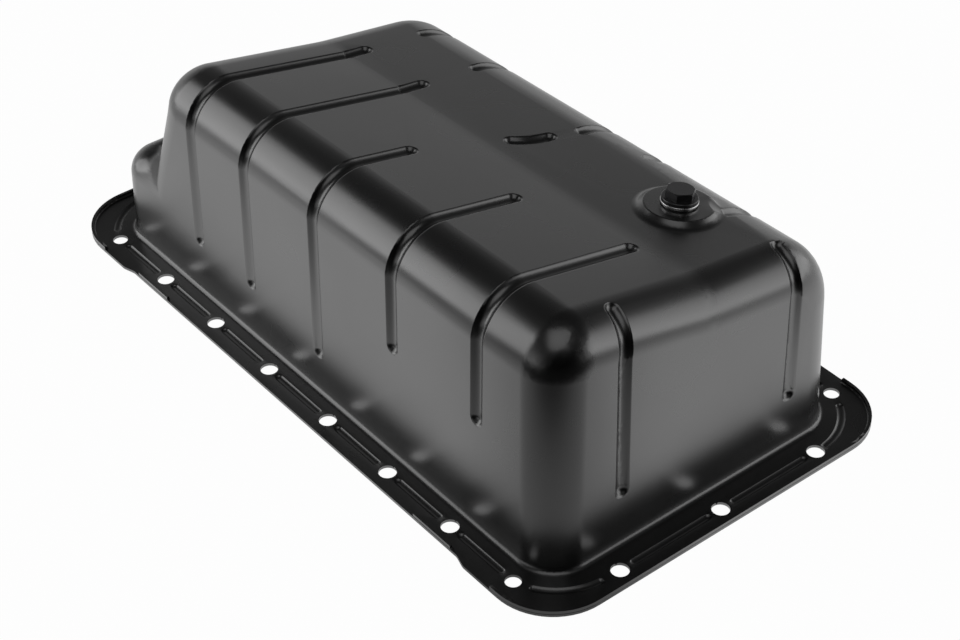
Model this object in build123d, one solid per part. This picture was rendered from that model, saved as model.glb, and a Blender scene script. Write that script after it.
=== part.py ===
"""Stamped steel engine oil pan, shown as it stands on its gasket flange with the drain plug on top.

Millimetres, +Z up, +X towards the drain end, origin in the middle of the flange at its lowest point.
The pan is one drawn sheet.  Its outer skin and its inner skin come from the same functions, called with
inset 0 and inset SHEET, so that every wall, shoulder, groove and bead has the same thickness.
"""
import os
from math import asin, atan, cos, degrees, radians, sin, tan

from build123d import *

# ---- sheet -----------------------------------------------------------------------------------------
SHEET = 1.5                      # thickness of the drawn sheet
BEAD_DEPTH = 1.0                 # how far the gasket beads stand below the flange

# ---- flange ----------------------------------------------------------------------------------------
FLANGE_LENGTH = 409.0            # over the two ends
CORNER_WIDTH = 229.6             # over the lobes at the four corners
SIDE_WIDTH = 225.4               # over the long sides between the lobes
LOBE_LENGTH = 64.5               # from each end to where the long side steps in
LOBE_STEP = 7.0                  # length of the slanted step
FLANGE_CORNER_RADIUS = 33.0
LIP_HEIGHT = 3.5                 # turned-up rim, over the sheet
LIP_BEND = 2.4                   # outer bend radius of the rim
LIP_SETBACK = 38.0               # the rim stops this far from each end on the long sides
TAB_START = 107.0                # short turned-up tabs on the long sides, from mid length
TAB_END = 135.0

# ---- bolt holes and beads --------------------------------------------------------------------------
HOLE_RADIUS = 4.5
CORNER_HOLE_RADIUS = 4.0
SIDE_HOLES = (25.5, 74.6, 123.1)  # distance of the normal side holes from mid length
CORNER_HOLE_X = 169.4
BOLT_HALF_WIDTH = 103.2
BOLT_HALF_LENGTH = 194.9
END_HOLE_SPACING = 63.4
END_HOLE_SHIFT = 2.4             # the end rows sit this far off the middle
BEAD_GAP = 8.8                   # from a hole's centre to the end of the bead beside it
BEAD_RADIUS = 3.0                # trough radius
CORNER_BEAD_RADIUS = 36.5
CORNER_BEAD_BOW = 2.3            # how far the corner beads bow past the side bolt line
CORNER_BEAD_FROM = 6.0           # degrees from the end row's direction
CORNER_BEAD_TO = 56.0

# ---- drawn body ------------------------------------------------------------------------------------
BODY_HALF_WIDTH = 93.0           # outside, at the flange
BODY_HALF_LENGTH = 182.0
WALL_DRAFT = 1.2                 # degrees
RIGHT_DRAFT = 2.5
CREASE_Y = 8.0                   # shallow valley along the pan's deep face
CREASE_HEIGHT = 113.2            # above the flange's lowest point, at mid length
LEFT_SLOPE = 0.21                # fall of the deep face from the left shoulder to the valley
RIGHT_SLOPE = 0.13               # and from the valley to the right shoulder
RISE = 0.037                     # the pan gets deeper towards the drain end
CREASE_BLEND = 120.0
LEFT_SHOULDER = 24.0
RIGHT_SHOULDER = 38.0
FRONT_RADIUS = 21.0              # front shoulder and front vertical corners
BACK_RADIUS = 22.0
BACK_LEAN = 20.0                 # degrees
BACK_TURN = 4.0                  # degrees that it is turned in plan, its right side further forward
BACK_X = -151.0                  # where it would meet the shelf's height, half way across
SHELF_HEIGHT = 53.0              # low step behind the leaning wall
BACK_TRIM_X = -150.0             # behind here the leaning wall ends inside the shelf,
BACK_TRIM_DEPTH = 20.0           # this far under its top
SHELF_CORNER = 18.0
SHELF_EDGE = 13.0
BASE_FILLET = 3.0                # concave, between wall and flange
INNER_SKIRT = 6.0                # the inner form's foot is widened this much under the flange
INNER_SKIRT_CORNER = 26.0
BASE_REACH = BODY_HALF_LENGTH + BODY_HALF_WIDTH - 7.0   # |x| + |y| of an edge at the body's foot is less

# ---- stiffening grooves ----------------------------------------------------------------------------
GROOVE_FLOOR = 4.0               # floor radius
GROOVE_RIM = 2.5                 # rim radius
GROOVE_FLANK = 55.0              # degrees
GROOVE_FLARE = 20.0              # degrees, how the rim leaves the surface
LEFT_GROOVES = (                 # distance along X, foot height, far end in Y
    (-101.5, 36.0, 19.0),
    (-53.8, 36.0, 20.0),
    (4.7, 28.0, -32.0),
    (66.6, 69.0, -18.0),
    (129.3, 67.0, -1.4),
)
RIGHT_GROOVES = (                # distance along X, foot height, far end in Y
    (-101.5, 36.0, 58.3),
    (-53.8, 36.0, 56.2),
    (30.0, 36.0, 57.0),
    (66.6, 36.0, 68.7),
    (129.3, 36.0, 61.9),
)
FRONT_GROOVES = (                # distance along Y, foot height, degrees of shoulder
    (-48.7, 35.0, 68.0),
    (57.5, 35.0, 76.0),
)
SHORT_GROOVE_CENTRE = (-6.0, 39.5)  # the lone groove on the deep face is bowed round this point
SHORT_GROOVE_RADIUS = 32.0
SHORT_GROOVE_FROM = -38.0        # degrees
SHORT_GROOVE_TO = -2.0
GROOVE_TOP = 3.0                 # the cutting section reaches this far over the skin
KINK_LAP = 0.5                   # straight runs lap this far where they meet in a valley
FOOT_SINK = 0.06                 # the front grooves end in a foot this much deeper than their floor

# ---- drain ------------------------------------------------------------------------------------------
DRAIN_X = 114.5
DRAIN_Y = 43.0
PAD_RADIUS = 17.2
PAD_HEIGHT = 3.2
PAD_FLANK = 45.0
PAD_EDGE = 1.2
PAD_FOOT = 6.0
PAD_DEEP = 12.0                  # the pad's block reaches this far into the body before they are joined
THREAD_RADIUS = 6.0
THREAD_CLEARANCE = 0.05
NUT_RADIUS = 11.0
NUT_LENGTH = 9.0
SPIGOT_RADIUS = 8.6
SPIGOT_HEIGHT = 0.6
WASHER_RADIUS = 9.3
WASHER_THICKNESS = 1.4
HEAD_FLANGE_RADIUS = 9.0
HEAD_FLANGE_HEIGHT = 1.9
HEX_FLATS = 13.0
HEX_HEIGHT = 5.8
PLUG_LENGTH = 13.0
WASHER_EDGE = 0.4
HEAD_FLANGE_EDGE = 0.6
HEX_TURN = 3.5                   # degrees
HEX_CHAMFER = 0.9
HEX_CHAMFER_ANGLE = 30.0
PLUG_CHAMFER = 1.0

FLANGE_BOTTOM = BEAD_DEPTH
FLANGE_TOP = FLANGE_BOTTOM + SHEET
BODY_FLOOR = -20.0               # the unfinished body reaches down to here before it is trimmed
FAR = 400.0                      # longer than anything in the pan


# ---- small helpers ---------------------------------------------------------------------------------
def normal_of(angle):
    """Unit vector at an angle in degrees, as a pair."""
    return cos(radians(angle)), sin(radians(angle))


def moved(point, normal, distance):
    return point[0] + normal[0] * distance, point[1] + normal[1] * distance


def meet(point, normal, other, other_normal):
    """Where two lines in a plane cross, each given by a point and its normal."""
    a = point[0] * normal[0] + point[1] * normal[1]
    b = other[0] * other_normal[0] + other[1] * other_normal[1]
    det = normal[0] * other_normal[1] - normal[1] * other_normal[0]
    return (a * other_normal[1] - b * normal[1]) / det, (b * normal[0] - a * other_normal[0]) / det


def above(height):
    """Everything over a height, as a block."""
    return Pos(0, 0, height + FAR / 2) * Box(4 * FAR, 4 * FAR, FAR)


def below(height):
    return Pos(0, 0, height - FAR / 2) * Box(4 * FAR, 4 * FAR, FAR)


# ---- drawn body ------------------------------------------------------------------------------------
LEFT_WALL = (-BODY_HALF_WIDTH, FLANGE_BOTTOM), normal_of(180 - WALL_DRAFT)
RIGHT_WALL = (BODY_HALF_WIDTH, FLANGE_BOTTOM), normal_of(RIGHT_DRAFT)
LEFT_FACE = (CREASE_Y, CREASE_HEIGHT), normal_of(90 - degrees(atan(LEFT_SLOPE)))
RIGHT_FACE = (CREASE_Y, CREASE_HEIGHT), normal_of(90 - degrees(atan(RIGHT_SLOPE)))


def leaning(side, degrees_back):
    """Outward normal of an end wall that leans in towards its top; side is 1 for the drain end, else -1."""
    return Vector(side * cos(radians(degrees_back)), 0, sin(radians(degrees_back)))


FRONT_NORMAL = leaning(1, WALL_DRAFT)


def inset_line(line, inset):
    point, normal = line
    return moved(point, normal, -inset), normal


def prism(outline, start, end):
    """A closed outline in Y and Z pushed from one X to another while it climbs with the pan's floor."""
    face = Plane(origin=(start, 0, RISE * start), x_dir=(0, 1, 0), z_dir=(1, 0, 0)) * make_face(outline)
    length = end - start
    return Solid.extrude(face.face(), Vector(length, 0, RISE * length))


def body_outline(inset):
    left, right = inset_line(LEFT_WALL, inset), inset_line(RIGHT_WALL, inset)
    left_face, right_face = inset_line(LEFT_FACE, inset), inset_line(RIGHT_FACE, inset)
    floor = (0.0, BODY_FLOOR), (0.0, 1.0)
    corners = [
        meet(*left, *floor),
        meet(*left, *left_face),
        meet(*left_face, *right_face),
        meet(*right_face, *right),
        meet(*right, *floor),
    ]
    radii = [LEFT_SHOULDER - inset, CREASE_BLEND + inset, RIGHT_SHOULDER - inset]
    roof = FilletPolyline(*corners, radius=radii)
    return roof + Line(corners[-1], corners[0])


def end_edges(solid, face):
    """The edges of an end face, without the one along its foot."""
    foot = face.edges().sort_by(Axis.Z)[0]
    return [edge for edge in face.edges() if edge.center() != foot.center()]


def deep_body(inset):
    body = prism(body_outline(inset), BACK_X - 60, BODY_HALF_LENGTH + 10)
    front = Plane(origin=(BODY_HALF_LENGTH, 0, FLANGE_BOTTOM), z_dir=FRONT_NORMAL)
    body = split(body, bisect_by=front.offset(-inset), keep=Keep.BOTTOM)
    back = Plane(origin=(BACK_X, 0, SHELF_HEIGHT), z_dir=leaning(-1, BACK_LEAN).rotate(Axis.Z, -BACK_TURN))
    body = split(body, bisect_by=back.offset(-inset), keep=Keep.BOTTOM)
    body = fillet(end_edges(body, body.faces().sort_by(Axis.X)[-1]), FRONT_RADIUS - inset)
    leaning_face = body.faces().sort_by(Axis((0, 0, 0), back.z_dir))[-1]
    body = fillet(end_edges(body, leaning_face), BACK_RADIUS - inset)
    return body


def shelf(inset):
    """The low step behind the leaning back wall, with its own rounded corners and edge."""
    left, right = inset_line(LEFT_WALL, inset), inset_line(RIGHT_WALL, inset)
    low, high = ((0.0, BODY_FLOOR), (0.0, 1.0)), ((0.0, 2 * SHELF_HEIGHT), (0.0, 1.0))
    corners = [meet(*left, *low), meet(*left, *high), meet(*right, *high), meet(*right, *low)]
    step = prism(Polyline(*corners, close=True), -BODY_HALF_LENGTH - 10, 0.0)
    step = step & above(FLANGE_BOTTOM) & below(SHELF_HEIGHT - inset)
    back = Plane(origin=(-BODY_HALF_LENGTH, 0, FLANGE_BOTTOM), z_dir=leaning(-1, WALL_DRAFT))
    step = split(step, bisect_by=back.offset(-inset), keep=Keep.BOTTOM)
    end = step.faces().sort_by(Axis.X)[0]
    uprights = end.edges().sort_by(Axis.Y)
    step = fillet([uprights[0], uprights[-1]], SHELF_CORNER - inset)
    rim = [edge for edge in step.faces().sort_by(Axis.Z)[-1].edges() if edge.center().X < -1.0]
    return fillet(rim, SHELF_EDGE - inset)


def drawn_form(inset):
    """Deep body and shelf in one piece, down to the flange."""
    under_shelf = Pos(BACK_TRIM_X - 2 * FAR, 0, 0) * below(SHELF_HEIGHT - BACK_TRIM_DEPTH)
    trimmed = (deep_body(inset) & above(FLANGE_BOTTOM)) - under_shelf
    return trimmed + shelf(inset)


# ---- flange ----------------------------------------------------------------------------------------
def flange_outline(inset):
    """Plan of the flange, with a lobe at each corner and a slightly narrower side between the lobes."""
    half_length = FLANGE_LENGTH / 2 - inset
    lobe, side = CORNER_WIDTH / 2 - inset, SIDE_WIDTH / 2 - inset
    inner = FLANGE_LENGTH / 2 - LOBE_LENGTH
    outer = inner + LOBE_STEP
    quarter = [(inner, side), (outer, lobe), (half_length, lobe)]
    corners = (
        [(x, y) for x, y in quarter]
        + [(x, -y) for x, y in reversed(quarter)]
        + [(-x, -y) for x, y in quarter]
        + [(-x, y) for x, y in reversed(quarter)]
    )
    step_radius = LOBE_STEP
    corner_radius = FLANGE_CORNER_RADIUS - inset
    radii = [step_radius, step_radius, corner_radius, corner_radius, step_radius, step_radius] * 2
    return make_face(FilletPolyline(*corners, close=True, radius=radii))


def lip_spans():
    """Blocks that hold the turned-up parts of the rim: both ends with their corners, and the side tabs."""
    reach = FLANGE_LENGTH
    inner = FLANGE_LENGTH / 2 - LIP_SETBACK
    spans = [Pos(side * (inner + reach / 2), 0, 0) * Box(reach, reach, reach) for side in (-1, 1)]
    tab = (TAB_START + TAB_END) / 2
    spans += [Pos(side * tab, 0, 0) * Box(TAB_END - TAB_START, reach, reach) for side in (-1, 1)]
    return spans


def flange_plate():
    plate = Pos(0, 0, FLANGE_BOTTOM) * extrude(flange_outline(0.0), SHEET)
    tall = Pos(0, 0, FLANGE_BOTTOM) * extrude(flange_outline(0.0), LIP_HEIGHT)
    foot = tall.faces().sort_by(Axis.Z)[0]
    tall = fillet(foot.edges(), LIP_BEND)
    room = Pos(0, 0, FLANGE_TOP) * extrude(flange_outline(SHEET), LIP_HEIGHT)
    room = fillet(room.faces().sort_by(Axis.Z)[0].edges(), LIP_BEND - SHEET)
    rim = tall - room
    turned = [rim & span for span in lip_spans()]
    return plate, turned


def bolt_holes():
    """Every hole's place and radius, as (x, y, radius)."""
    holes = []
    for y in (-BOLT_HALF_WIDTH, BOLT_HALF_WIDTH):
        for x in SIDE_HOLES:
            holes += [(x, y, HOLE_RADIUS), (-x, y, HOLE_RADIUS)]
        holes += [(CORNER_HOLE_X, y, CORNER_HOLE_RADIUS), (-CORNER_HOLE_X, y, CORNER_HOLE_RADIUS)]
    for x in (-BOLT_HALF_LENGTH, BOLT_HALF_LENGTH):
        for step in (-1, 0, 1):
            holes.append((x, END_HOLE_SHIFT + step * END_HOLE_SPACING, HOLE_RADIUS))
    return holes


def capsule(start, end, radius):
    """A round bar with ball ends, between two points."""
    start, end = Vector(*start), Vector(*end)
    bar = Solid.make_cylinder(radius, (end - start).length, Plane(origin=start, z_dir=end - start))
    return bar + Pos(*start) * Sphere(radius) + Pos(*end) * Sphere(radius)


def bead_tools(radius):
    """Bars along every bead, at the height of the beads' common axis."""
    height = FLANGE_TOP - BEAD_DEPTH + BEAD_RADIUS
    stations = sorted([-CORNER_HOLE_X, CORNER_HOLE_X] + list(SIDE_HOLES) + [-x for x in SIDE_HOLES])
    tools = []
    for y in (-BOLT_HALF_WIDTH, BOLT_HALF_WIDTH):
        for first, last in zip(stations, stations[1:]):
            tools.append(capsule((first + BEAD_GAP, y, height), (last - BEAD_GAP, y, height), radius))
    for x in (-BOLT_HALF_LENGTH, BOLT_HALF_LENGTH):
        for step in (-1, 0):
            first = END_HOLE_SHIFT + step * END_HOLE_SPACING
            last = first + END_HOLE_SPACING
            tools.append(capsule((x, first + BEAD_GAP, height), (x, last - BEAD_GAP, height), radius))
    for right in (-1, 1):
        for far in (-1, 1):
            tools.append(corner_bead(right, far, height, radius))
    return tools


def corner_bead(right, far, height, radius):
    """The bent bead round one corner: a piece of a ring with ball ends."""
    centre_x = right * (BOLT_HALF_LENGTH - CORNER_BEAD_RADIUS)
    centre_y = far * (BOLT_HALF_WIDTH + CORNER_BEAD_BOW - CORNER_BEAD_RADIUS)
    ends = []
    for angle in (CORNER_BEAD_FROM, CORNER_BEAD_TO):
        x = centre_x + right * CORNER_BEAD_RADIUS * cos(radians(angle))
        y = centre_y + far * CORNER_BEAD_RADIUS * sin(radians(angle))
        ends.append(Vector(x, y, height))
    first, last = ends if right * far > 0 else reversed(ends)
    start = Plane(origin=first, z_dir=Vector(0, 0, 1).cross(first - Vector(centre_x, centre_y, height)))
    section = (start * Circle(radius)).face()
    spine = Axis((centre_x, centre_y, height), (0, 0, 1))
    bend = Solid.revolve(section, CORNER_BEAD_TO - CORNER_BEAD_FROM, spine)
    return bend + Pos(*first) * Sphere(radius) + Pos(*last) * Sphere(radius)


# ---- stiffening grooves ----------------------------------------------------------------------------
GROOVE_SIZE = GROOVE_FLOOR + GROOVE_RIM
GROOVE_LIFT = GROOVE_RIM * (1 - cos(radians(GROOVE_FLARE)))
GROOVE_DEPTH = GROOVE_SIZE * (1 - cos(radians(GROOVE_FLANK))) - GROOVE_LIFT


def groove_half(grow):
    """Half of the groove's section, right of its middle: floor arc, rim arc and flare, thickened by grow."""
    flank, flare = radians(GROOVE_FLANK), radians(GROOVE_FLARE)
    floor_radius, rim_radius = GROOVE_FLOOR + grow, GROOVE_RIM - grow
    low = -GROOVE_DEPTH + GROOVE_FLOOR
    rim_x, rim_y = GROOVE_SIZE * sin(flank), low - GROOVE_SIZE * cos(flank)
    floor_end = (floor_radius * sin(flank), low - floor_radius * cos(flank))
    floor_middle = (floor_radius * sin(flank / 2), low - floor_radius * cos(flank / 2))
    bottom = (0.0, low - floor_radius)
    half = (flank + flare) / 2
    rim_middle = (rim_x - rim_radius * sin(half), rim_y + rim_radius * cos(half))
    rim_end = (rim_x - rim_radius * sin(flare), rim_y + rim_radius * cos(flare))
    top = (rim_end[0] + (GROOVE_TOP - rim_end[1]) / tan(flare), GROOVE_TOP)
    return bottom, floor_middle, floor_end, rim_middle, rim_end, top


def groove_section(grow):
    bottom, floor_middle, floor_end, rim_middle, rim_end, top = groove_half(grow)

    def mirror(point):
        return -point[0], point[1]

    outline = (
        ThreePointArc(mirror(floor_end), bottom, floor_end)
        + ThreePointArc(floor_end, rim_middle, rim_end)
        + Line(rim_end, top)
        + Line(top, mirror(top))
        + Line(mirror(top), mirror(rim_end))
        + ThreePointArc(mirror(rim_end), mirror(rim_middle), mirror(floor_end))
    )
    return make_face(outline)


def groove_bowl(point, normal, across, grow):
    """The round end of a groove."""
    bottom, floor_middle, floor_end, rim_middle, rim_end, top = groove_half(grow)
    outline = (
        ThreePointArc(bottom, floor_middle, floor_end)
        + ThreePointArc(floor_end, rim_middle, rim_end)
        + Line(rim_end, top)
        + Line(top, (0.0, top[1]))
        + Line((0.0, top[1]), bottom)
    )
    face = Plane(origin=point, x_dir=across, z_dir=across.cross(normal)) * make_face(outline)
    return Solid.revolve(face.face(), 360, Axis(point, normal))


def groove_face(point, normal, along, grow):
    """The groove's section where it crosses a point on the skin."""
    return (Plane(origin=point, x_dir=normal.cross(along), z_dir=along) * groove_section(grow)).face()


def groove_run(start, end, normal, grow):
    """A straight stretch between two points on the skin."""
    return Solid.extrude(groove_face(start, normal, end - start, grow), end - start)


def groove_bend(centre, radius, from_normal, to_normal, grow):
    """A stretch over a round shoulder."""
    axis = from_normal.cross(to_normal)
    face = groove_face(centre + from_normal * radius, from_normal, axis.cross(from_normal), grow)
    return Solid.revolve(face, from_normal.get_angle(to_normal), Axis(centre, axis))


def skin_normal(line):
    """Unit normal, in space, of a skin of the body given by its line in Y and Z."""
    across, up = line[1]
    return Vector(-RISE * up, across, up).normalized()


LEFT_TOP = skin_normal(LEFT_FACE)
RIGHT_TOP = skin_normal(RIGHT_FACE)


def face_height(x, y):
    """Height of the deep face, left or right of its valley."""
    slope = LEFT_SLOPE if y < CREASE_Y else RIGHT_SLOPE
    return CREASE_HEIGHT + RISE * x - slope * (y - CREASE_Y)


def wall_y(line, height):
    point, normal = line
    return point[0] - normal[1] * (height - point[1]) / normal[0]


def side_groove(x, foot, tip, wall, face, radius, grow):
    """A groove up one long wall, over its shoulder and on to the deep face as far as tip."""
    outward, upward = Vector(0, *wall[1]), Vector(0, *face[1])
    middle = meet(*inset_line(wall, radius), *inset_line(face, radius))
    centre = Vector(x, middle[0], middle[1] + RISE * x)
    start = Vector(x, wall_y(wall, foot - RISE * x), foot)
    side = 1 if outward.Y > 0 else -1
    across = Vector(side, 0, 0)
    shoulder_end = centre + upward * radius
    pieces = [
        groove_bowl(start, outward, across, grow),
        groove_run(start, centre + outward * radius, outward, grow),
    ]
    if (tip - shoulder_end.Y) * side > 0:
        turn = degrees(asin((tip - centre.Y) / radius))
        last = Vector(0, sin(radians(turn)), cos(radians(turn)))
        end = centre + last * radius
        pieces.append(groove_bend(centre, radius, outward, last, grow))
    else:
        pieces.append(groove_bend(centre, radius, outward, upward, grow))
        last, end = upward, Vector(x, tip, face_height(x, tip))
        if side < 0 and tip > CREASE_Y:
            valley = Vector(x, CREASE_Y, face_height(x, CREASE_Y))
            pieces.append(groove_run(shoulder_end, valley + (valley - shoulder_end).normalized() * KINK_LAP,
                                     upward, grow))
            last = Vector(0, *RIGHT_FACE[1])
            pieces.append(groove_run(valley + (valley - end).normalized() * KINK_LAP, end, last, grow))
        else:
            pieces.append(groove_run(shoulder_end, end, upward, grow))
    pieces.append(groove_bowl(end, last, -across, grow))
    return pieces


def front_groove(y, foot, turn, grow):
    """A groove up the drain end's wall and part of the way over its shoulder."""
    upward = LEFT_TOP if y < CREASE_Y else RIGHT_TOP
    flat = upward.X**2 + upward.Z**2
    end_wall = moved((BODY_HALF_LENGTH, FLANGE_BOTTOM), (FRONT_NORMAL.X, FRONT_NORMAL.Z), -FRONT_RADIUS)
    roof = moved((0.0, face_height(0.0, y)), (upward.X, upward.Z), -FRONT_RADIUS / flat)
    middle = meet(end_wall, (FRONT_NORMAL.X, FRONT_NORMAL.Z), roof, (upward.X, upward.Z))
    centre = Vector(middle[0], y, middle[1])
    shoulder_start = centre + FRONT_NORMAL * FRONT_RADIUS
    fall = shoulder_start.Z - foot
    start = shoulder_start + Vector(fall * tan(radians(WALL_DRAFT)), 0, -fall)
    axis = FRONT_NORMAL.cross(upward).normalized()
    last = FRONT_NORMAL * cos(radians(turn)) + axis.cross(FRONT_NORMAL) * sin(radians(turn))
    shoulder_face = groove_face(shoulder_start, FRONT_NORMAL, axis.cross(FRONT_NORMAL), grow)
    return [
        groove_bowl(start - FRONT_NORMAL * FOOT_SINK, FRONT_NORMAL, Vector(0, 1, 0), grow),
        Solid.extrude(shoulder_face, start - shoulder_start),
        groove_bend(centre, FRONT_RADIUS, FRONT_NORMAL, last, grow),
        groove_bowl(centre + last * FRONT_RADIUS, last, axis, grow),
    ]


def short_groove(grow):
    """The lone bowed groove on the deep face."""
    x, y = SHORT_GROOVE_CENTRE
    centre = Vector(x, y, face_height(x, y))
    level = Plane(origin=centre, x_dir=(1, 0, RISE), z_dir=RIGHT_TOP)
    ends = []
    for angle in (SHORT_GROOVE_FROM, SHORT_GROOVE_TO):
        out = level.x_dir * cos(radians(angle)) + level.y_dir * sin(radians(angle))
        ends.append((centre + out * SHORT_GROOVE_RADIUS, out))
    (first, first_out), (last, last_out) = ends
    plane = Plane(origin=first, x_dir=first_out, z_dir=first_out.cross(RIGHT_TOP))
    face = (plane * groove_section(grow)).face()
    turn = SHORT_GROOVE_TO - SHORT_GROOVE_FROM
    return [
        groove_bowl(first, RIGHT_TOP, first_out, grow),
        Solid.revolve(face, turn, Axis(centre, RIGHT_TOP)),
        groove_bowl(last, RIGHT_TOP, last_out, grow),
    ]


def all_grooves(grow):
    left = LEFT_WALL, LEFT_FACE, LEFT_SHOULDER
    right = RIGHT_WALL, RIGHT_FACE, RIGHT_SHOULDER
    tools = [side_groove(*place, *left, grow) for place in LEFT_GROOVES]
    tools += [side_groove(*place, *right, grow) for place in RIGHT_GROOVES]
    tools += [front_groove(*place, grow) for place in FRONT_GROOVES]
    tools.append(short_groove(grow))
    return tools


# ---- drain ------------------------------------------------------------------------------------------
DRAIN_AXIS = RIGHT_TOP
DRAIN_POINT = Vector(DRAIN_X, DRAIN_Y, face_height(DRAIN_X, DRAIN_Y))
DRAIN_PLANE = Plane(origin=DRAIN_POINT, x_dir=(1, 0, RISE), z_dir=DRAIN_AXIS)


def pad_top(inset):
    """Radius of the pad's flat top, before its edge is rounded."""
    return PAD_RADIUS - inset * tan(radians(PAD_FLANK / 2))


def pad_block(inset):
    """Raised round pad for the drain, with a sloping flank, to be joined to the body of the same inset."""
    high = PAD_HEIGHT - inset
    wide = pad_top(inset) + (high + PAD_DEEP) / tan(radians(PAD_FLANK))
    return Solid.make_cone(wide, pad_top(inset), high + PAD_DEEP, DRAIN_PLANE.offset(-PAD_DEEP))


def drain_bar(radius, low, high):
    """Round bar on the drain's axis between two heights over the deep face."""
    return Solid.make_cylinder(radius, high - low, DRAIN_PLANE.offset(low))


# ---- pan shell ---------------------------------------------------------------------------------------


def raised_form(inset):
    """Body with its drain pad, before the grooves."""
    form = drawn_form(inset) + pad_block(inset)
    form = fillet(pad_edges(form, inset, 0.0), PAD_EDGE)
    return fillet(pad_edges(form, inset, PAD_EDGE), PAD_FOOT + inset)


def pad_edges(form, inset, depth):
    """Edges on the pad's flank that lie this deep or deeper under its top; only the rim when depth is 0."""
    found = []
    for edge in form.edges():
        ends = [DRAIN_PLANE.to_local_coords(edge @ part) for part in (0.0, 0.3, 0.6, 1.0)]
        drops = [PAD_HEIGHT - inset - end.Z for end in ends]
        cone = [abs(Vector(end.X, end.Y, 0).length - pad_top(inset) - drop / tan(radians(PAD_FLANK)))
                for end, drop in zip(ends, drops)]
        level = min(drops) > depth if depth else max(abs(drop) for drop in drops) < 0.01
        if max(cone) < 0.05 and level:
            found.append(edge)
    return found


def cut_all(form, grow):
    for pieces in all_grooves(grow):
        tool = pieces[0]
        for piece in pieces[1:]:
            tool = tool + piece
        form = form - tool
    return form


def base_edges(solid, height):
    """Edges where the walls meet the flange."""
    found = []
    for edge in solid.edges():
        x, y, z = edge.center()
        inside = abs(x) < BODY_HALF_LENGTH + 1.0 and abs(y) < BODY_HALF_WIDTH + 1.0
        if inside and abs(z - height) < 0.001 and abs(x) + abs(y) < BASE_REACH:
            found.append(edge)
    return found


def outer_solid():
    """Everything inside the outer skin: body, flange, rim and beads, with the foot rounded."""
    solid, turned = flange_plate()
    for piece in turned:
        solid = solid + piece
    solid = solid + cut_all(raised_form(0.0), 0.0)
    solid = fillet(base_edges(solid, FLANGE_TOP), BASE_FILLET)
    slab = above(0.0) & below(FLANGE_TOP)
    for ridge in bead_tools(BEAD_RADIUS + SHEET):
        solid = solid + (ridge & slab)
    return solid


def inner_solid():
    """The room inside the pan, down through the flange."""
    form = cut_all(raised_form(SHEET), SHEET)
    skirt = Box(
        2 * (BODY_HALF_LENGTH + INNER_SKIRT),
        2 * (BODY_HALF_WIDTH + INNER_SKIRT),
        BODY_HALF_WIDTH,
        align=(Align.CENTER, Align.CENTER, Align.MAX),
    )
    skirt = Pos(0, 0, FLANGE_BOTTOM) * fillet(skirt.edges().filter_by(Axis.Z), INNER_SKIRT_CORNER)
    room = form + skirt
    return fillet(base_edges(room, FLANGE_BOTTOM), BASE_FILLET + SHEET)


def pan_shell():
    shell = outer_solid() - inner_solid()
    for trough in bead_tools(BEAD_RADIUS):
        shell = shell - trough
    for x, y, radius in bolt_holes():
        shell = shell - Pos(x, y, 0) * Cylinder(radius, FAR)
    return shell - drain_bar(SPIGOT_RADIUS + THREAD_CLEARANCE, -PAD_DEEP, PAD_DEEP)


# ---- drain parts -------------------------------------------------------------------------------------
def drain_boss():
    """Welded nut under the pad, with a short spigot up through it and a plain bore for the thread."""
    seat = PAD_HEIGHT - SHEET
    top = PAD_HEIGHT + SPIGOT_HEIGHT
    boss = drain_bar(NUT_RADIUS, seat - NUT_LENGTH, seat) + drain_bar(SPIGOT_RADIUS, seat, top)
    return boss - drain_bar(THREAD_RADIUS, seat - NUT_LENGTH, top)


def drain_washer():
    low = PAD_HEIGHT + SPIGOT_HEIGHT
    high = low + WASHER_THICKNESS
    ring = drain_bar(WASHER_RADIUS, low, high)
    ring = fillet(ring.edges().filter_by(GeomType.CIRCLE), WASHER_EDGE)
    return ring - drain_bar(THREAD_RADIUS, low, high)


def drain_plug():
    """Flanged hexagon plug, its head chamfered at the corners, with a plain shank for its thread."""
    low = PAD_HEIGHT + SPIGOT_HEIGHT + WASHER_THICKNESS
    plug = drain_bar(HEAD_FLANGE_RADIUS, low, low + HEAD_FLANGE_HEIGHT)
    plug = fillet(plug.edges().filter_by(GeomType.CIRCLE).sort_by(Axis.Z)[-1], HEAD_FLANGE_EDGE)
    corner = HEX_FLATS / 2 / cos(radians(30))
    level = DRAIN_PLANE.rotated((0, 0, HEX_TURN)).offset(low)
    head = extrude(level * RegularPolygon(corner, 6), HEX_HEIGHT)
    dome = corner - HEX_CHAMFER + HEX_HEIGHT / tan(radians(HEX_CHAMFER_ANGLE))
    cone = Solid.make_cone(dome, corner - HEX_CHAMFER, HEX_HEIGHT, DRAIN_PLANE.offset(low))
    plug = plug + (head & cone)
    shank = drain_bar(THREAD_RADIUS - THREAD_CLEARANCE, low - PLUG_LENGTH, low)
    shank = chamfer(shank.edges().filter_by(GeomType.CIRCLE).sort_by(Axis.Z)[0], PLUG_CHAMFER)
    return plug + shank


# ---- export ------------------------------------------------------------------------------------------
NODES = {
    "pan_shell": pan_shell,
    "drain_boss": drain_boss,
    "drain_washer": drain_washer,
    "drain_plug": drain_plug,
}

if __name__ == "__main__":
    os.makedirs("parts", exist_ok=True)
    for name, build in NODES.items():
        export_step(build(), os.path.join("parts", name + ".step"))
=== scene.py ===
# %% [markdown]
# # A pressed steel oil pan
#
# The pan stands on its gasket flange with the drain plug on top.

# %% Load the frame
import math

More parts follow.
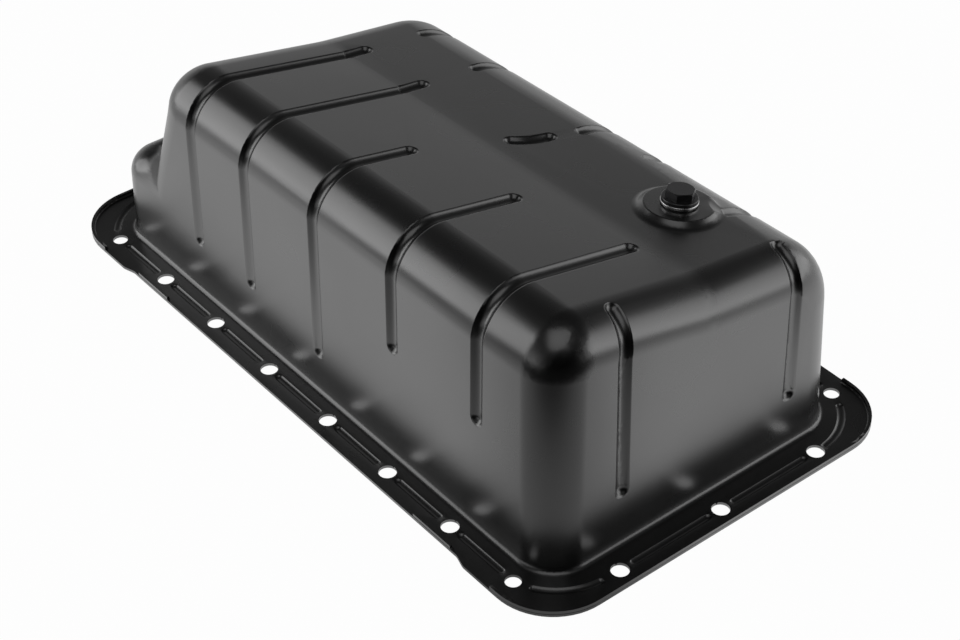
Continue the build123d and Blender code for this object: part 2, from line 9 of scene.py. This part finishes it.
import bpy
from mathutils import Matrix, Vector


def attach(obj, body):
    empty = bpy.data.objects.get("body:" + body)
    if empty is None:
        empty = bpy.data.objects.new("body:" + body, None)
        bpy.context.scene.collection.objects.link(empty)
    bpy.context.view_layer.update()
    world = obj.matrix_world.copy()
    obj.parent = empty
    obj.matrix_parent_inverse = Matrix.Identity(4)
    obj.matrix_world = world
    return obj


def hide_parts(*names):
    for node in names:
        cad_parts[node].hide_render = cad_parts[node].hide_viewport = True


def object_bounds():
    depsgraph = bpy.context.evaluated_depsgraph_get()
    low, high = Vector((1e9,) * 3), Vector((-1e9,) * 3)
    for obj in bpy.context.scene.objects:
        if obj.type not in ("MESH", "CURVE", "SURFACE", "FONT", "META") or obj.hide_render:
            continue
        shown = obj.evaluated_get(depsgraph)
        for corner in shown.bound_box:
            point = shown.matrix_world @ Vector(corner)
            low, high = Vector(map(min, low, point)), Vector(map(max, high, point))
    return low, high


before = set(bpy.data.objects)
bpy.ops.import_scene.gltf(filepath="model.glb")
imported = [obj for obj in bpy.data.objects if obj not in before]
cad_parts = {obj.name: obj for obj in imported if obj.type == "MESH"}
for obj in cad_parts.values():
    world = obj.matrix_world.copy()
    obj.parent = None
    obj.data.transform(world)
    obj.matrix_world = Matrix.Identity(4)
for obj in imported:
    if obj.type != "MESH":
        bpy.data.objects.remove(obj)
cad_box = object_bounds()
print("nodes:", sorted(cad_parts))
print("box:", cad_box)

# %% [markdown]
# ## Smooth copies of the solids
#
# A CAD mesh comes in as loose triangles, so a shoulder would shade as a row of flats.  It could be
# subdivided, but that would pull the form off its size.  A copy is merged instead, and its corner
# normals are weighted by face area.  Flat walls then stay flat, and the drawn radii between them shade
# as one smooth sweep, which a glossy coating shows up at once.
#
# A hexagon needs one thing more.  Its flat faces are first joined back from their triangles, and its
# edges are broken by a fine bevel, as a file or a tumbling drum breaks them on a real plug.

# %% Settings for the copies
MERGE_DISTANCE = 1e-7
SHARP_ANGLE = math.radians(35)
FLAT_ANGLE = math.radians(1.0)     # faces closer than this are one flat face
BROKEN_ANGLE = math.radians(24)    # edges sharper than this are broken
AREA_WEIGHT = 50
print("an edge counts as sharp past", round(math.degrees(SHARP_ANGLE)), "degrees")


# %% Copy a node
def copy_of(node, name):
    """A copy of a CAD node with its own mesh, selected and active."""
    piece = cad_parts[node].copy()
    piece.data = piece.data.copy()
    piece.name = name
    piece.data.name = name
    piece.parent = None
    bpy.context.collection.objects.link(piece)
    bpy.ops.object.select_all(action="DESELECT")
    bpy.context.view_layer.objects.active = piece
    piece.select_set(True)
    return piece


def merge_corners(flatten):
    """Joins the active mesh's loose triangles, and its flat faces too if flatten is set."""
    bpy.ops.object.mode_set(mode="EDIT")
    bpy.ops.mesh.select_all(action="SELECT")
    bpy.ops.mesh.remove_doubles(threshold=MERGE_DISTANCE)
    if flatten:
        bpy.ops.mesh.dissolve_limited(angle_limit=FLAT_ANGLE)
    bpy.ops.object.mode_set(mode="OBJECT")


print("copy helpers ready")


# %% Break the edges and weight the normals
def break_edges(piece, width):
    """A fine flat bevel on every sharp edge."""
    edge = piece.modifiers.new("broken edges", "BEVEL")
    edge.width = width
    edge.segments = 1
    edge.limit_method = "ANGLE"
    edge.angle_limit = BROKEN_ANGLE
    bpy.ops.object.modifier_apply(modifier=edge.name)


def weight_normals(piece, sharp):
    """Smooth shading up to an angle, with each corner normal led by its largest face."""
    bpy.ops.object.shade_smooth_by_angle(angle=sharp)
    weighted = piece.modifiers.new("area weighted normals", "WEIGHTED_NORMAL")
    weighted.mode = "FACE_AREA"
    weighted.weight = AREA_WEIGHT
    weighted.keep_sharp = True
    bpy.ops.object.modifier_apply(modifier=weighted.name)


print("shading helpers ready")


# %% A smooth-shading copy that stands for its node
def smooth_copy(node, name, body, sharp=SHARP_ANGLE, broken=0.0):
    """A merged copy of a CAD node with area-weighted normals, which stands for that node."""
    piece = copy_of(node, name)
    merge_corners(broken > 0.0)
    if broken > 0.0:
        break_edges(piece, broken)
    weight_normals(piece, sharp)
    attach(piece, body)
    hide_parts(node)
    print(name, len(piece.data.polygons), "faces")
    return piece


# %% [markdown]
# ## The press-formed shell
#
# The real shell is one sheet of steel, drawn to its depth in a press in several strokes.  Flange, beads,
# grooves and pad are all struck into the same sheet, so there is one piece here and no seam.

# %% The shell
shell = smooth_copy("pan_shell", "pressed_shell", "pan")

# %% [markdown]
# ## Satin black coating
#
# The real pan is dipped or sprayed, then baked, in a thin black coating.  It is dark, but it mirrors its
# surroundings softly, so most of what the eye reads as grey is reflection.  A near-black base with a
# high index of refraction and a middling roughness gives that.  Two sizes of noise break it up: one for
# the faint orange peel of the coat, one for slow changes of gloss over the big faces.

# %% Material helpers
NOISE_LOW = 0.3                    # the noise mostly stays between these two
NOISE_HIGH = 0.7
PEEL_DETAIL = 2.0


def new_material(name):
    """A node material, its nodes and links, and its Principled shader."""
    material = bpy.data.materials.new(name)
    material.use_nodes = True
    nodes = material.node_tree.nodes
    shader = nodes.get("Principled BSDF")
    return material, nodes, material.node_tree.links, shader


def dress(piece, material):
    """Puts one material on every face of a piece."""
    piece.data.materials.clear()
    piece.data.materials.append(material)
    print(piece.name, "wears", material.name)


# %% Noise, gloss and peel
def noise(nodes, links, scale, detail):
    """Noise over the object's own coordinates."""
    place = nodes.new("ShaderNodeTexCoord")
    texture = nodes.new("ShaderNodeTexNoise")
    texture.inputs["Scale"].default_value = scale
    texture.inputs["Detail"].default_value = detail
    links.new(place.outputs["Object"], texture.inputs["Vector"])
    return texture.outputs["Fac"]


def spread(nodes, links, source, low, high):
    """A noise value stretched to run from low to high."""
    ramp = nodes.new("ShaderNodeMapRange")
    ramp.inputs["From Min"].default_value = NOISE_LOW
    ramp.inputs["From Max"].default_value = NOISE_HIGH
    ramp.inputs["To Min"].default_value = low
    ramp.inputs["To Max"].default_value = high
    links.new(source, ramp.inputs["Value"])
    return ramp.outputs["Result"]


def peel(nodes, links, shader, scale, strength, depth):
    """Fine bump."""
    bump = nodes.new("ShaderNodeBump")
    bump.inputs["Strength"].default_value = strength
    bump.inputs["Distance"].default_value = depth
    links.new(noise(nodes, links, scale, PEEL_DETAIL), bump.inputs["Height"])
    links.new(bump.outputs["Normal"], shader.inputs["Normal"])


print("texture helpers ready")

# %% The coating
COATING_COLOUR = (0.0015, 0.0015, 0.0016, 1.0)
COATING_IOR = 2.2
COATING_ROUGHNESS = 0.28
GLOSSIER = 0.02
DULLER = 0.03
CLOUD_SCALE = 14.0
CLOUD_DETAIL = 3.0
PEEL_SCALE = 900.0
PEEL_STRENGTH = 0.02
PEEL_DEPTH = 0.0001

coating, nodes, links, shader = new_material("satin_black_coating")
shader.inputs["Base Color"].default_value = COATING_COLOUR
shader.inputs["IOR"].default_value = COATING_IOR
cloud = noise(nodes, links, CLOUD_SCALE, CLOUD_DETAIL)
links.new(spread(nodes, links, cloud, COATING_ROUGHNESS - GLOSSIER, COATING_ROUGHNESS + DULLER),
          shader.inputs["Roughness"])
peel(nodes, links, shader, PEEL_SCALE, PEEL_STRENGTH, PEEL_DEPTH)
dress(shell, coating)

# %% [markdown]
# ## Drain plug, washer and boss
#
# The plug is forged and turned steel with a dark plating, the washer under it is bare soft metal, and
# the boss, which is welded on before the pan is coated, shows only as a thin coated ring.  Both metals
# could be flat greys, but a metal shader with a gloss that varies a little shows their turned rims.

# %% Dark plating
PLATING_COLOUR = (0.09, 0.09, 0.092, 1.0)
PLATING_METALLIC = 0.9
PLATING_GLOSS = (0.26, 0.40)
PLATING_NOISE = (300.0, 4.0)       # scale, detail
PLATING_PEEL = (1500.0, 0.08, 0.0001)

plating, nodes, links, shader = new_material("dark_plated_steel")
shader.inputs["Base Color"].default_value = PLATING_COLOUR
shader.inputs["Metallic"].default_value = PLATING_METALLIC
links.new(spread(nodes, links, noise(nodes, links, *PLATING_NOISE), *PLATING_GLOSS),
          shader.inputs["Roughness"])
peel(nodes, links, shader, *PLATING_PEEL)
print("plating roughness runs", PLATING_GLOSS)

# %% Bare washer metal
BARE_COLOUR = (0.80, 0.80, 0.80, 1.0)
BARE_METALLIC = 1.0
BARE_GLOSS = (0.22, 0.34)
BARE_NOISE = (700.0, 3.0)          # scale, detail

bare, nodes, links, shader = new_material("bare_washer_metal")
shader.inputs["Base Color"].default_value = BARE_COLOUR
shader.inputs["Metallic"].default_value = BARE_METALLIC
links.new(spread(nodes, links, noise(nodes, links, *BARE_NOISE), *BARE_GLOSS),
          shader.inputs["Roughness"])
print("washer roughness runs", BARE_GLOSS)

# %% Boss, washer and plug
TURNED_ANGLE = math.radians(22)
HEXAGON_ANGLE = math.radians(12)   # at a wider angle the head's faces shade into each other
EDGE_BREAK = 0.00022

boss = smooth_copy("drain_boss", "weld_boss", "pan", TURNED_ANGLE)
dress(boss, coating)
washer = smooth_copy("drain_washer", "seal_washer", "pan", TURNED_ANGLE)
dress(washer, bare)
plug = smooth_copy("drain_plug", "hex_plug", "plug", HEXAGON_ANGLE, EDGE_BREAK)
dress(plug, plating)

# %% [markdown]
# ## Floor and backdrop
#
# The pan stands on a white sweep.  The camera sees the floor white all over, and beneath that glow it
# keeps a little plain diffuse white, which holds the pan's shadow.
#
# What the pan mirrors is another matter.  On a real table only the part near the lamps is bright, so in
# reflections the floor is a pool of light.  Its edge runs past the near corner of the pan, where it
# falls away in steps, and that draws the dark patch on that corner.

# %% The floor plane
FLOOR_SIZE = 12.0

bpy.ops.object.select_all(action="DESELECT")
bpy.ops.mesh.primitive_plane_add(size=FLOOR_SIZE, location=(0, 0, cad_box[0][2]))
floor = bpy.context.object
floor.name = "white_floor"
bpy.ops.object.transform_apply(location=True, rotation=True, scale=True)
print("floor", FLOOR_SIZE, "m across")


# %% Node helpers for light and floor
def stepped(nodes, links, source, stops):
    """A grey ramp through (place, brightness) stops."""
    ramp = nodes.new("ShaderNodeValToRGB")
    for place, value in stops[1:-1]:
        ramp.color_ramp.elements.new(place)
    for element, (place, value) in zip(ramp.color_ramp.elements, stops):
        element.position = place
        element.color = (value, value, value, 1.0)
    links.new(source, ramp.inputs["Fac"])
    return ramp.outputs["Color"]


def vector_maths(nodes, links, operation, source, other=(0.0, 0.0, 0.0)):
    """One vector operation that ends in a number."""
    node = nodes.new("ShaderNodeVectorMath")
    node.operation = operation
    links.new(source, node.inputs[0])
    node.inputs[1].default_value = other
    return node.outputs["Value"]


def maths(nodes, links, operation, first, second):
    """One sum on two numbers, each a socket or a plain value."""
    node = nodes.new("ShaderNodeMath")
    node.operation = operation
    for socket, value in zip(node.inputs, (first, second)):
        if isinstance(value, float):
            socket.default_value = value
        else:
            links.new(value, socket)
    return node.outputs["Value"]


print("light helpers ready")

# %% The pool of light
POOL_WAY = (0.658, -0.753, 0.0)    # across the floor, towards the unlit side
POOL_EDGE = (                      # metres along that way, and how bright the floor is there
    (0.000, 1.00),
    (0.145, 1.00),
    (0.190, 0.42),
    (0.280, 0.27),
    (0.320, 0.02),
)
POOL_FAR = (                       # metres from the middle, and how bright the floor is there
    (0.000, 1.00),
    (0.300, 1.00),
    (0.550, 0.60),
)
PAPER_COLOUR = (0.85, 0.85, 0.85, 1.0)
PAPER_ROUGHNESS = 0.9
PAPER_SPECULAR = 0.0

paper, nodes, links, shader = new_material("white_sweep")
shader.inputs["Base Color"].default_value = PAPER_COLOUR
shader.inputs["Roughness"].default_value = PAPER_ROUGHNESS
shader.inputs["Specular IOR Level"].default_value = PAPER_SPECULAR
spot = nodes.new("ShaderNodeTexCoord").outputs["Object"]
near = stepped(nodes, links, vector_maths(nodes, links, "DOT_PRODUCT", spot, POOL_WAY), POOL_EDGE)
far = stepped(nodes, links, vector_maths(nodes, links, "LENGTH", spot), POOL_FAR)
pool = maths(nodes, links, "MULTIPLY", near, far)
print("the pool's edge ends", POOL_EDGE[-1][0], "m out")

# %% The glow over the paper
FLOOR_GLOW = 0.98

rays = nodes.new("ShaderNodeLightPath")
pool = maths(nodes, links, "MAXIMUM", pool, rays.outputs["Is Camera Ray"])
glow = nodes.new("ShaderNodeEmission")
links.new(pool, glow.inputs["Strength"])
seen = maths(nodes, links, "MAXIMUM", rays.outputs["Is Camera Ray"], rays.outputs["Is Glossy Ray"])
seen = maths(nodes, links, "MAXIMUM", seen, rays.outputs["Is Transmission Ray"])
mix = nodes.new("ShaderNodeMixShader")
links.new(maths(nodes, links, "MULTIPLY", seen, FLOOR_GLOW), mix.inputs[0])
links.new(shader.outputs["BSDF"], mix.inputs[1])
links.new(glow.outputs["Emission"], mix.inputs[2])
links.new(mix.outputs["Shader"], nodes["Material Output"].inputs["Surface"])
dress(floor, paper)

# %% [markdown]
# ## The room
#
# A studio is brightest low down, where the paper's light reaches, and dark at the ceiling.  One side
# holds no lamp and falls off to black.  A sky texture would bring in blue and a sun, so the room is two
# grey ramps multiplied: one by height and one towards the unlit side.

# %% The room's brightness
UP = (0.0, 0.0, 1.0)
SKY_STOPS = (                      # sine of the height above the floor, and how bright the room is there
    (0.00, 0.80),
    (0.17, 0.50),
    (0.34, 0.26),
    (0.48, 0.10),
    (0.64, 0.05),
    (0.80, 0.03),
)
UNLIT_WAY = (0.866, -0.500, 0.0)   # the side of the room that holds no lamp
UNLIT_EDGE = ((0.000, 1.0), (0.400, 1.0), (0.800, 0.0))
print("the room fades from", SKY_STOPS[0][1], "to", SKY_STOPS[-1][1])

# %% The world
world = bpy.data.worlds.new("studio")
bpy.context.scene.world = world
world.use_nodes = True
nodes, links = world.node_tree.nodes, world.node_tree.links
background = nodes["Background"]
way = nodes.new("ShaderNodeTexCoord").outputs["Object"]
height = vector_maths(nodes, links, "DOT_PRODUCT", way, UP)
side = vector_maths(nodes, links, "DOT_PRODUCT", way, UNLIT_WAY)
sky = maths(nodes, links, "MULTIPLY", stepped(nodes, links, height, SKY_STOPS),
            stepped(nodes, links, side, UNLIT_EDGE))
rays = nodes.new("ShaderNodeLightPath")
links.new(maths(nodes, links, "MAXIMUM", sky, rays.outputs["Is Camera Ray"]), background.inputs["Strength"])
background.inputs["Color"].default_value = (1.0, 1.0, 1.0, 1.0)
print("world:", world.name)

# %% [markdown]
# ## Lamps
#
# Three soft boxes light the pan: one low off the shelf end's near corner, one low off the drain end's
# far corner and one overhead, on the camera's side.  A soft box is a cloth window over a lamp, so a
# rectangular area lamp stands for it.
# Its edge in the coating is what draws a bright band along a shoulder, and the gaps between the boxes
# draw the dark ones.  The camera doesn't see the boxes themselves.

# %% A soft box
AIM = Vector((0.0, 0.0, 0.06))


def soft_box(name, place, width, height, watts):
    """A rectangular area lamp aimed at the pan."""
    bpy.ops.object.light_add(type="AREA", location=place)
    lamp = bpy.context.object
    lamp.name = name
    lamp.data.shape = "RECTANGLE"
    lamp.data.size = width
    lamp.data.size_y = height
    lamp.data.energy = watts
    lamp.rotation_euler = (AIM - Vector(place)).to_track_quat("-Z", "Y").to_euler()
    lamp.visible_camera = False
    print(name, watts, "W")


# %% The three boxes
soft_box("left_box", (-0.92, -0.77, 0.48), 0.90, 0.96, 3.5)
soft_box("front_box", (0.69, 0.98, 0.38), 1.50, 0.74, 3.0)
soft_box("top_box", (0.52, -0.45, 1.32), 1.08, 1.10, 2.1)

# %% [markdown]
# ## Camera
#
# The camera looks down on the drain end's near corner.  A long lens from about a metre away keeps the
# far end from shrinking too much, as in a catalogue picture.

# %% Camera
CAMERA_PLACE = (0.7077626, -0.5471234, 0.7101764)
CAMERA_TILT = 51.44935             # degrees up from straight down
CAMERA_ROLL = 0.576
CAMERA_HEADING = 51.14237
SENSOR_WIDTH = 36.0                # millimetres
FOCAL_PIXELS = 2173.34
FRAME_WIDTH = 960.0                # pixels
NEAREST = 0.05

bpy.ops.object.camera_add(location=CAMERA_PLACE)
camera = bpy.context.object
camera.name = "product_camera"
camera.rotation_euler = (math.radians(CAMERA_TILT), math.radians(CAMERA_ROLL), math.radians(CAMERA_HEADING))
camera.data.sensor_width = SENSOR_WIDTH
camera.data.lens = SENSOR_WIDTH * FOCAL_PIXELS / FRAME_WIDTH
camera.data.clip_start = NEAREST
bpy.context.scene.camera = camera
bpy.context.scene.view_settings.view_transform = "Standard"
print("lens", round(camera.data.lens, 2), "mm")
